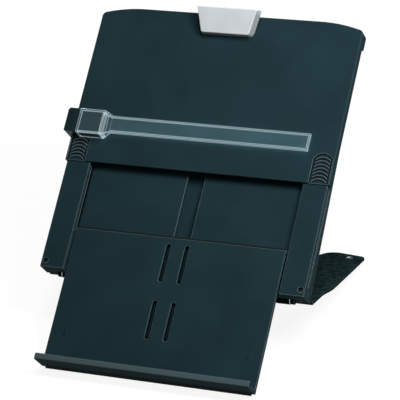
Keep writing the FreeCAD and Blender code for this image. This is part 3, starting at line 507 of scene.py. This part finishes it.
class Growth:
    """A geometry node tree with named inputs, which sets one piece on each of its points."""

    def __init__(self, name, inputs):
        self.tree = bpy.data.node_groups.new(name, "GeometryNodeTree")
        self.tree.is_modifier = True
        face = self.tree.interface
        face.new_socket(name="Geometry", in_out="INPUT", socket_type="NodeSocketGeometry")
        for label, kind, value in inputs:
            face.new_socket(name=label, in_out="INPUT", socket_type=kind).default_value = value
        face.new_socket(name="Material", in_out="INPUT", socket_type="NodeSocketMaterial")
        face.new_socket(name="Geometry", in_out="OUTPUT", socket_type="NodeSocketGeometry")
        self.source = self.tree.nodes.new("NodeGroupInput").outputs
        self.result = self.tree.nodes.new("NodeGroupOutput")

    def add(self, kind, inputs=None, **settings):
        """First output of a new node."""
        return add_node(self.tree, kind, inputs, **settings).outputs[0]

    def math(self, operation, a, b):
        return self.add("ShaderNodeMath", {0: a, 1: b}, operation=operation)

    def times(self, a, b):
        return self.math("MULTIPLY", a, b)

    def vector(self, x=0.0, y=0.0, z=0.0):
        return self.add("ShaderNodeCombineXYZ", {0: x, 1: y, 2: z})

    def moved(self, geometry, x=0.0, y=0.0, z=0.0):
        return self.add("GeometryNodeTransform", {0: geometry, "Translation": self.vector(x, y, z)})

    def turned(self, geometry, rotation):
        return self.add("GeometryNodeTransform", {0: geometry, "Rotation": rotation})

    def circle(self, points, radius):
        return self.add("GeometryNodeCurvePrimitiveCircle", {"Resolution": points, "Radius": radius})

    def swept(self, path, profile):
        return self.add("GeometryNodeCurveToMesh", {0: path, "Profile Curve": profile, "Fill Caps": True})

    def smooth(self, geometry):
        return self.add("GeometryNodeSetShadeSmooth", {0: geometry})

    def join(self, *parts):
        node = self.tree.nodes.new("GeometryNodeJoinGeometry")
        for part in reversed(parts):
            self.tree.links.new(part, node.inputs[0])
        return node.outputs[0]

    def cut(self, solid, cutters):
        node = add_node(self.tree, "GeometryNodeMeshBoolean", operation="DIFFERENCE")
        self.tree.links.new(solid, node.inputs["Mesh 1"])
        for cutter in cutters:
            self.tree.links.new(cutter, node.inputs["Mesh 2"])
        return node.outputs[0]

    def finish(self, piece):
        """Set the piece on each point, and end the tree."""
        placed = self.add("GeometryNodeInstanceOnPoints", {"Points": self.source["Geometry"],
                                                           "Instance": piece})
        real = self.add("GeometryNodeRealizeInstances", {0: placed})
        painted = self.add("GeometryNodeSetMaterial", {0: real, "Material": self.source["Material"]})
        self.tree.links.new(painted, self.result.inputs[0])
        return self


def grow(name, growth, values, places, frame, body, finish):
    """Run a growth at places in a frame, in millimetres, and return the plain finished piece."""
    seed = bpy.data.meshes.new(name + "_points")
    seed.from_pydata([tuple(Vector(place) * MM) for place in places], [], [])
    host = bpy.data.objects.new(name + "_host", seed)
    bpy.context.scene.collection.objects.link(host)
    modifier = host.modifiers.new("growth", "NODES")
    modifier.node_group = growth.tree
    sockets = {s.name: s.identifier for s in growth.tree.interface.items_tree if s.in_out == "INPUT"}
    for label, value in values.items():
        modifier[sockets[label]] = value
    modifier[sockets["Material"]] = MATERIALS[finish]
    graph = bpy.context.evaluated_depsgraph_get()
    mesh = bpy.data.meshes.new_from_object(host.evaluated_get(graph))
    bpy.data.objects.remove(host)
    mesh.name = name
    mesh.transform(frame)
    return add_piece(name, mesh, body, finish)


def add_piece(name, mesh, body, finish):
    """Put a finished mesh in the scene and let it ride on its body."""
    if not mesh.materials:
        mesh.materials.append(MATERIALS[finish])
    piece = bpy.data.objects.new(name, mesh)
    bpy.context.scene.collection.objects.link(piece)
    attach(piece, body)
    return piece


def screw_growth():
    """Chamfered head with a cross recess, and a threaded shank below it."""
    plan = Growth("screw_set", [("Head Radius", FLOAT, 0.0025), ("Head Height", FLOAT, 0.0018),
                                ("Shank Radius", FLOAT, 0.0014), ("Shank Length", FLOAT, 0.01),
                                ("Turn", FLOAT, 0.0)])
    head = plan.source["Head Radius"]
    height = plan.source["Head Height"]
    shank = plan.source["Shank Radius"]
    reach = plan.source["Shank Length"]

    top_share = 0.72
    blank = plan.add("GeometryNodeMeshCylinder", {"Vertices": 40, "Side Segments": 2, "Radius": head,
                                                  "Depth": height})
    blank = plan.moved(blank, z=plan.times(height, 0.5))
    spot = plan.add("GeometryNodeInputPosition")
    rise = add_node(plan.tree, "ShaderNodeSeparateXYZ", {0: spot}).outputs["Z"]
    at_top = plan.math("GREATER_THAN", rise, plan.times(height, 0.75))
    narrowed = plan.add("ShaderNodeVectorMath", {0: spot, 1: (top_share, top_share, 1.0)},
                        operation="MULTIPLY")
    chamfered = plan.add("GeometryNodeSetPosition", {0: blank, "Selection": at_top, "Position": narrowed})

    # The second bar of the cross is a little deeper, so that no two faces of the cutters lie together
    bars = []
    for turn, depth_share in ((0.0, 1.0), (math.pi / 2, 1.1)):
        size = plan.vector(plan.times(head, 1.15), plan.times(head, 0.26), plan.times(height, depth_share))
        bar = plan.add("GeometryNodeMeshCube", {"Size": size})
        bars.append(plan.moved(plan.turned(bar, (0.0, 0.0, turn)), z=height))

    core_radius = plan.times(shank, 0.8)
    core = plan.add("GeometryNodeMeshCylinder", {"Vertices": 24, "Radius": core_radius, "Depth": reach})
    core = plan.moved(core, z=plan.times(reach, -0.5))
    turns = plan.math("DIVIDE", reach, THREAD_PITCH * MM)
    helix = plan.add("GeometryNodeCurveSpiral", {"Resolution": 16, "Rotations": turns, "Height": reach,
                                                 "Start Radius": core_radius, "End Radius": core_radius})
    helix = plan.moved(helix, z=plan.times(reach, -1.0))
    thread = plan.swept(helix, plan.circle(5, plan.times(shank, 0.17)))
    screw = plan.join(plan.cut(chamfered, bars), core, thread)
    return plan.finish(plan.turned(screw, plan.vector(x=plan.source["Turn"])))


def spring_growth():
    """Torsion spring along X: a coil with two straight legs."""
    plan = Growth("torsion_spring", [("Coil Radius", FLOAT, 0.0026), ("Wire Radius", FLOAT, 0.00045),
                                     ("Turns", FLOAT, 8.5), ("Length", FLOAT, 0.016),
                                     ("Leg", FLOAT, 0.008), ("Seat Drop", FLOAT, 0.001),
                                     ("Lift", FLOAT, 0.001)])
    coil = plan.source["Coil Radius"]
    leg = plan.source["Leg"]
    span = plan.source["Length"]
    under = plan.times(coil, -1.0)
    left = plan.times(span, -0.5)
    right = plan.times(span, 0.5)
    spiral = plan.add("GeometryNodeCurveSpiral", {"Resolution": 24, "Rotations": plan.source["Turns"],
                                                  "Start Radius": coil, "End Radius": coil,
                                                  "Height": span})
    spiral = plan.turned(plan.moved(spiral, z=left), (0.0, math.pi / 2, 0.0))
    seat_end = plan.vector(left, leg, plan.math("SUBTRACT", under, plan.source["Seat Drop"]))
    seat = plan.add("GeometryNodeCurvePrimitiveLine", {"Start": plan.vector(left, 0.0, under),
                                                       "End": seat_end})
    arm_end = plan.vector(right, leg, plan.math("ADD", coil, plan.source["Lift"]))
    arm = plan.add("GeometryNodeCurvePrimitiveLine", {"Start": plan.vector(right, 0.0, coil),
                                                      "End": arm_end})
    wire = plan.circle(12, plan.source["Wire Radius"])
    tubes = [plan.swept(line, wire) for line in (spiral, seat, arm)]
    return plan.finish(plan.smooth(plan.join(*tubes)))


def rib_growth():
    """Stack of arched beads, from each point downwards."""
    plan = Growth("grip_ribs", [("Arch Radius", FLOAT, 0.012), ("Half Angle", FLOAT, 0.7),
                                ("Bead", FLOAT, 0.0006), ("Pitch", FLOAT, 0.004), ("Count", WHOLE, 7)])
    radius = plan.source["Arch Radius"]
    half = plan.source["Half Angle"]
    arch = plan.add("GeometryNodeCurveArc", {"Resolution": 20, "Radius": radius,
                                             "Start Angle": plan.math("SUBTRACT", math.pi / 2, half),
                                             "Sweep Angle": plan.times(half, 2.0)}, mode="RADIUS")
    arch = plan.moved(arch, y=plan.times(radius, -1.0))
    rib = plan.swept(arch, plan.circle(10, plan.source["Bead"]))
    step = plan.vector(y=plan.times(plan.source["Pitch"], -1.0))
    row = plan.add("GeometryNodeMeshLine", {"Count": plan.source["Count"], "Offset": step})
    ladder = plan.add("GeometryNodeInstanceOnPoints", {"Points": row, "Instance": rib})
    ladder = plan.add("GeometryNodeRealizeInstances", {0: ladder})
    return plan.finish(plan.smooth(ladder))


def stud_growth():
    """Flattened dome."""
    plan = Growth("stud_domes", [("Radius", FLOAT, 0.003), ("Height", FLOAT, 0.001)])
    radius = plan.source["Radius"]
    ball = plan.add("GeometryNodeMeshUVSphere", {"Segments": 40, "Rings": 20, "Radius": radius})
    flat = plan.vector(1.0, 1.0, plan.math("DIVIDE", plan.source["Height"], radius))
    dome = plan.add("GeometryNodeTransform", {0: ball, "Scale": flat})
    return plan.finish(plan.smooth(dome))


def board_mesh(name, verts, faces):
    """Mesh from points in the board's frame, in millimetres."""
    mesh = bpy.data.meshes.new(name)
    mesh.from_pydata([Vector(vert) * MM for vert in verts], [], faces)
    mesh.transform(BOARD)
    return mesh


def box_mesh(name, low, high):
    """Box between two corners."""
    verts = [(x, y, z) for z in (low[2], high[2]) for y in (low[1], high[1]) for x in (low[0], high[0])]
    faces = [(0, 2, 3, 1), (4, 5, 7, 6), (0, 1, 5, 4), (2, 6, 7, 3), (0, 4, 6, 2), (1, 3, 7, 5)]
    return board_mesh(name, verts, faces)


def shadow_strip_mesh():
    """Thin dark strip along the upper edge of the tray: a painted shadow in the gap above that edge."""
    front = TRAY_FACE - SHADOW_STRIP_SINK
    low = (-SHADOW_STRIP_HALF_LENGTH, TRAY_TOP + SHADOW_STRIP_GAP, front - SHADOW_STRIP_DEPTH)
    high = (SHADOW_STRIP_HALF_LENGTH, TRAY_TOP + SHADOW_STRIP_HEIGHT, front)
    return box_mesh("tray_shadow_strip", low, high)


def mark_mesh():
    """Small arrow with a dot above it, at each side of the tray, and barely proud of its face."""
    step = 2 * math.pi / MARK_DOT_POINTS
    dot = [(MARK_DOT_RADIUS * math.cos(k * step), MARK_DOT_RISE + MARK_DOT_RADIUS * math.sin(k * step))
           for k in range(MARK_DOT_POINTS)]
    levels = (TRAY_FACE - MARK_PROUD, TRAY_FACE + MARK_PROUD)
    verts = []
    faces = []
    for side in SIDES:
        for ring in (MARK_ARROW[::-1], dot):
            start = len(verts)
            count = len(ring)
            verts += [(side * MARK_X + x, MARK_Y + y, z) for z in levels for x, y in ring]
            faces.append([start + count + k for k in range(count)])
            faces.append([start + k for k in reversed(range(count))])
            faces += [[start + k, start + (k + 1) % count, start + count + (k + 1) % count,
                       start + count + k] for k in range(count)]
    return board_mesh("tray_marks", verts, faces)


class HOLDER_OT_shells(bpy.types.Operator):
    """Finish the cover, body and tray"""
    bl_idname = "holder.shells"
    bl_label = "Cover, Body and Tray"

    def execute(self, context):
        for node in ("cover_panel", "hood_back", "body_front", "body_back", "clip_base"):
            dress(node, "shell")
        dress("tray", "tray")
        dress("ledge_foot_strip", "rubber")
        # Dark strip along the tray's upper edge: a painted shadow that rides with the tray
        add_piece("tray_shadow_strip", shadow_strip_mesh(), "tray", "marks")
        return {"FINISHED"}


class HOLDER_OT_grips(bpy.types.Operator):
    """Add the rounded beads to the ribs of the thumb grips"""
    bl_idname = "holder.grips"
    bl_label = "Thumb Grips"

    def execute(self, context):
        sizes = context.scene.holder_fittings
        values = {"Arch Radius": (RIB_ARC - RIB_HALF_WIDTH) * MM,
                  "Half Angle": math.asin(RIB_HALF_SPAN / RIB_ARC),
                  "Bead": sizes.rib_bead, "Pitch": RIB_PITCH * MM, "Count": sizes.rib_count}
        places = [(side * GRIP_X, GRIP_TOP - RIB_HALF_WIDTH, RIB_LEVEL) for side in SIDES]
        grow("grip_beads", rib_growth(), values, places, BOARD, "cover", "grip")
        return {"FINISHED"}


class HOLDER_OT_leg(bpy.types.Operator):
    """Finish the leg, its feet and the studs that hold them"""
    bl_idname = "holder.leg"
    bl_label = "Leg and Feet"

    def execute(self, context):
        sizes = context.scene.holder_fittings
        dress("leg_plate", "leg")
        for node in ("leg_foot_left", "leg_foot_right"):
            dress(node, "rubber")
        values = {"Radius": sizes.stud, "Height": STUD_HEIGHT * MM}
        places = [(side * STUD_X, STUD_Y, STUD_Z) for side in SIDES]
        grow("foot_studs", stud_growth(), values, places, LEG, "leg", "stud")
        return {"FINISHED"}


class HOLDER_OT_hinges(bpy.types.Operator):
    """Finish the hinge pins and washers"""
    bl_idname = "holder.hinges"
    bl_label = "Pins and Washers"

    def execute(self, context):
        for node in ("hinge_pin_left", "hinge_pin_right", "hinge_washers", "clip_pin"):
            dress(node, "steel")
        return {"FINISHED"}


class HOLDER_OT_clip(bpy.types.Operator):
    """Finish the clip and wind its spring"""
    bl_idname = "holder.clip"
    bl_label = "Clip"

    def execute(self, context):
        sizes = context.scene.holder_fittings
        dress("clip_lever", "silver")
        dress("clip_pad", "rubber")
        values = {"Coil Radius": sizes.spring_coil, "Wire Radius": sizes.spring_wire,
                  "Turns": sizes.spring_turns, "Length": sizes.spring_turns * SPRING_PITCH * MM,
                  "Leg": SPRING_LEG * MM, "Seat Drop": SPRING_SEAT_DROP * MM, "Lift": SPRING_LIFT * MM}
        coil = grow("clip_coil", spring_growth(), values, [CLIP_PIN], BOARD, "cover",
                    "wire")
        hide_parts("clip_spring")
        return {"FINISHED"}


class HOLDER_OT_guide(bpy.types.Operator):
    """Finish the line guide and its slider"""
    bl_idname = "holder.guide"
    bl_label = "Line Guide"

    def execute(self, context):
        dress("guide_slider", "slider")
        dress("guide_retainer", "slider")
        dress("guide_spring", "wire")
        dress("guide_arm", "clear")
        NODES["guide_arm"].visible_shadow = False
        return {"FINISHED"}


def screw_set(growth, name, body, node, places, seat, head, reach, turn=math.pi, finish="steel"):
    """Screws with their heads on one level, driven from behind, or from the front at a turn of zero."""
    sizes = bpy.context.scene.holder_fittings
    values = {"Head Radius": sizes.screw_head, "Head Height": head * MM,
              "Shank Radius": sizes.screw_shank, "Shank Length": reach * MM, "Turn": turn}
    piece = grow(name, growth, values, [(x, y, seat) for x, y in places], BOARD, body, finish)
    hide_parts(node)


class HOLDER_OT_screws(bpy.types.Operator):
    """Make the screws of body, hood and clip base"""
    bl_idname = "holder.screws"
    bl_label = "Screws"

    def execute(self, context):
        growth = screw_growth()
        screw_set(growth, "body_screw_set", "body", "body_screws", BODY_SCREWS, seat=-6.2, head=1.8,
                  reach=7.4, turn=0.0, finish="dark_steel")
        screw_set(growth, "hood_screw_set", "cover", "hood_screws", HOOD_SCREWS, seat=-12.9, head=1.1,
                  reach=8.1)
        screw_set(growth, "clip_screw_set", "cover", "clip_base_screws", CLIP_SCREWS, seat=-1.8,
                  head=1.5, reach=4.2)
        return {"FINISHED"}


class HOLDER_OT_marks(bpy.types.Operator):
    """Add the small arrows on the tray"""
    bl_idname = "holder.marks"
    bl_label = "Tray Marks"

    def execute(self, context):
        add_piece("tray_marks", mark_mesh(), "tray", "marks")
        return {"FINISHED"}


def area_lamp(name, place, target, size, watts):
    """Rectangular lamp that faces its target and isn't seen through the clear guide."""
    data = bpy.data.lights.new(name, "AREA")
    data.shape = "RECTANGLE"
    data.size, data.size_y = size
    data.energy = watts
    lamp = bpy.data.objects.new(name, data)
    lamp.location = place
    lamp.rotation_euler = (Vector(target) - Vector(place)).to_track_quat("-Z", "Y").to_euler()
    lamp.visible_transmission = False
    bpy.context.scene.collection.objects.link(lamp)


def seen_white(tree, dim, white=1.0):
    """Strength that is white to the camera, reflections and glass, and dim to everything else."""
    path = add_node(tree, "ShaderNodeLightPath")
    seen = path.outputs["Is Camera Ray"]
    for other in ("Is Glossy Ray", "Is Transmission Ray"):
        seen = add_node(tree, "ShaderNodeMath", {0: seen, 1: path.outputs[other]},
                        operation="MAXIMUM").outputs[0]
    return add_node(tree, "ShaderNodeMapRange", {"Value": seen, "To Min": dim, "To Max": white}).outputs[0]


def set_surroundings(scene):
    world = bpy.data.worlds.new("surroundings")
    world.use_nodes = True
    tree = world.node_tree
    back = tree.nodes["Background"]
    set_plain(back, {"Color": WHITE})
    tree.links.new(seen_white(tree, scene.holder_stage.ambient), back.inputs["Strength"])
    scene.world = world


def lay_floor(scene):
    """Desk top that is white to the camera and still takes the object's shadow."""
    stage = scene.holder_stage
    bpy.ops.mesh.primitive_plane_add(size=FLOOR_SIZE, location=(0.0, 0.0, 0.0))
    floor = bpy.context.object
    floor.name = "desk"
    material, tree, bsdf = new_material("desk_white")
    shade = stage.floor_shade
    set_plain(bsdf, {"Base Color": (shade, shade, shade, 1.0), "Roughness": 0.9,
                     "Specular IOR Level": 0.0, "Emission Color": WHITE})
    tree.links.new(seen_white(tree, 0.0, stage.floor_glow), bsdf.inputs["Emission Strength"])
    floor.data.materials.append(material)


def hang_lamps(scene):
    stage = scene.holder_stage
    area_lamp("key", BOARD @ Vector(KEY_PLACE), BOARD.translation, KEY_SIZE, stage.key)
    area_lamp("top", TOP_PLACE, TOP_AIM, TOP_SIZE, stage.top)
    area_lamp("rear", REAR_PLACE, REAR_AIM, REAR_SIZE, stage.rear)


def place_camera(scene):
    camera = bpy.data.objects.new("camera", bpy.data.cameras.new("camera"))
    camera.data.sensor_width = SENSOR_WIDTH
    camera.data.lens = scene.holder_stage.focal
    camera.data.clip_end = CAMERA_REACH
    turn = Euler([math.radians(angle) for angle in CAMERA_TURN]).to_matrix().to_4x4()
    camera.matrix_world = BOARD @ Matrix.Translation(CAMERA_PLACE) @ turn
    scene.collection.objects.link(camera)
    scene.camera = camera


class HOLDER_OT_stage(bpy.types.Operator):
    """Set the floor, lights, surroundings and camera"""
    bl_idname = "holder.stage"
    bl_label = "Stage"

    def execute(self, context):
        scene = context.scene
        set_surroundings(scene)
        lay_floor(scene)
        hang_lamps(scene)
        place_camera(scene)
        scene.view_settings.view_transform = "Standard"
        return {"FINISHED"}


class HOLDER_PT_panel(bpy.types.Panel):
    """Lists the settings and the steps that dress the copy holder"""
    bl_label = "Copy Holder"
    bl_idname = "HOLDER_PT_panel"
    bl_space_type = "VIEW_3D"
    bl_region_type = "UI"
    bl_category = "Copy Holder"

    def draw(self, context):
        for group in (context.scene.holder_finishes, context.scene.holder_fittings,
                      context.scene.holder_stage):
            box = self.layout.box()
            for name in group.bl_rna.properties.keys():
                if name not in ("name", "rna_type"):
                    box.prop(group, name)
        for step in STEPS:
            self.layout.operator(step.bl_idname)


STEPS = (HOLDER_OT_stage, HOLDER_OT_shells, HOLDER_OT_grips, HOLDER_OT_leg, HOLDER_OT_hinges,
         HOLDER_OT_clip, HOLDER_OT_guide, HOLDER_OT_screws, HOLDER_OT_marks)
SETTINGS = (("holder_finishes", HolderFinishes), ("holder_fittings", HolderFittings),
            ("holder_stage", HolderStage))


def register():
    for name, group in SETTINGS:
        bpy.utils.register_class(group)
        setattr(bpy.types.Scene, name, PointerProperty(type=group))
    for cls in (*STEPS, HOLDER_PT_panel):
        bpy.utils.register_class(cls)


def unregister():
    for cls in reversed((*STEPS, HOLDER_PT_panel)):
        bpy.utils.unregister_class(cls)
    for name, group in reversed(SETTINGS):
        delattr(bpy.types.Scene, name)
        bpy.utils.unregister_class(group)


def main():
    register()
    MATERIALS.update(make_materials())
    for step in STEPS:
        family, name = step.bl_idname.split(".")
        getattr(getattr(bpy.ops, family), name)()


if __name__ == "__main__":
    main()
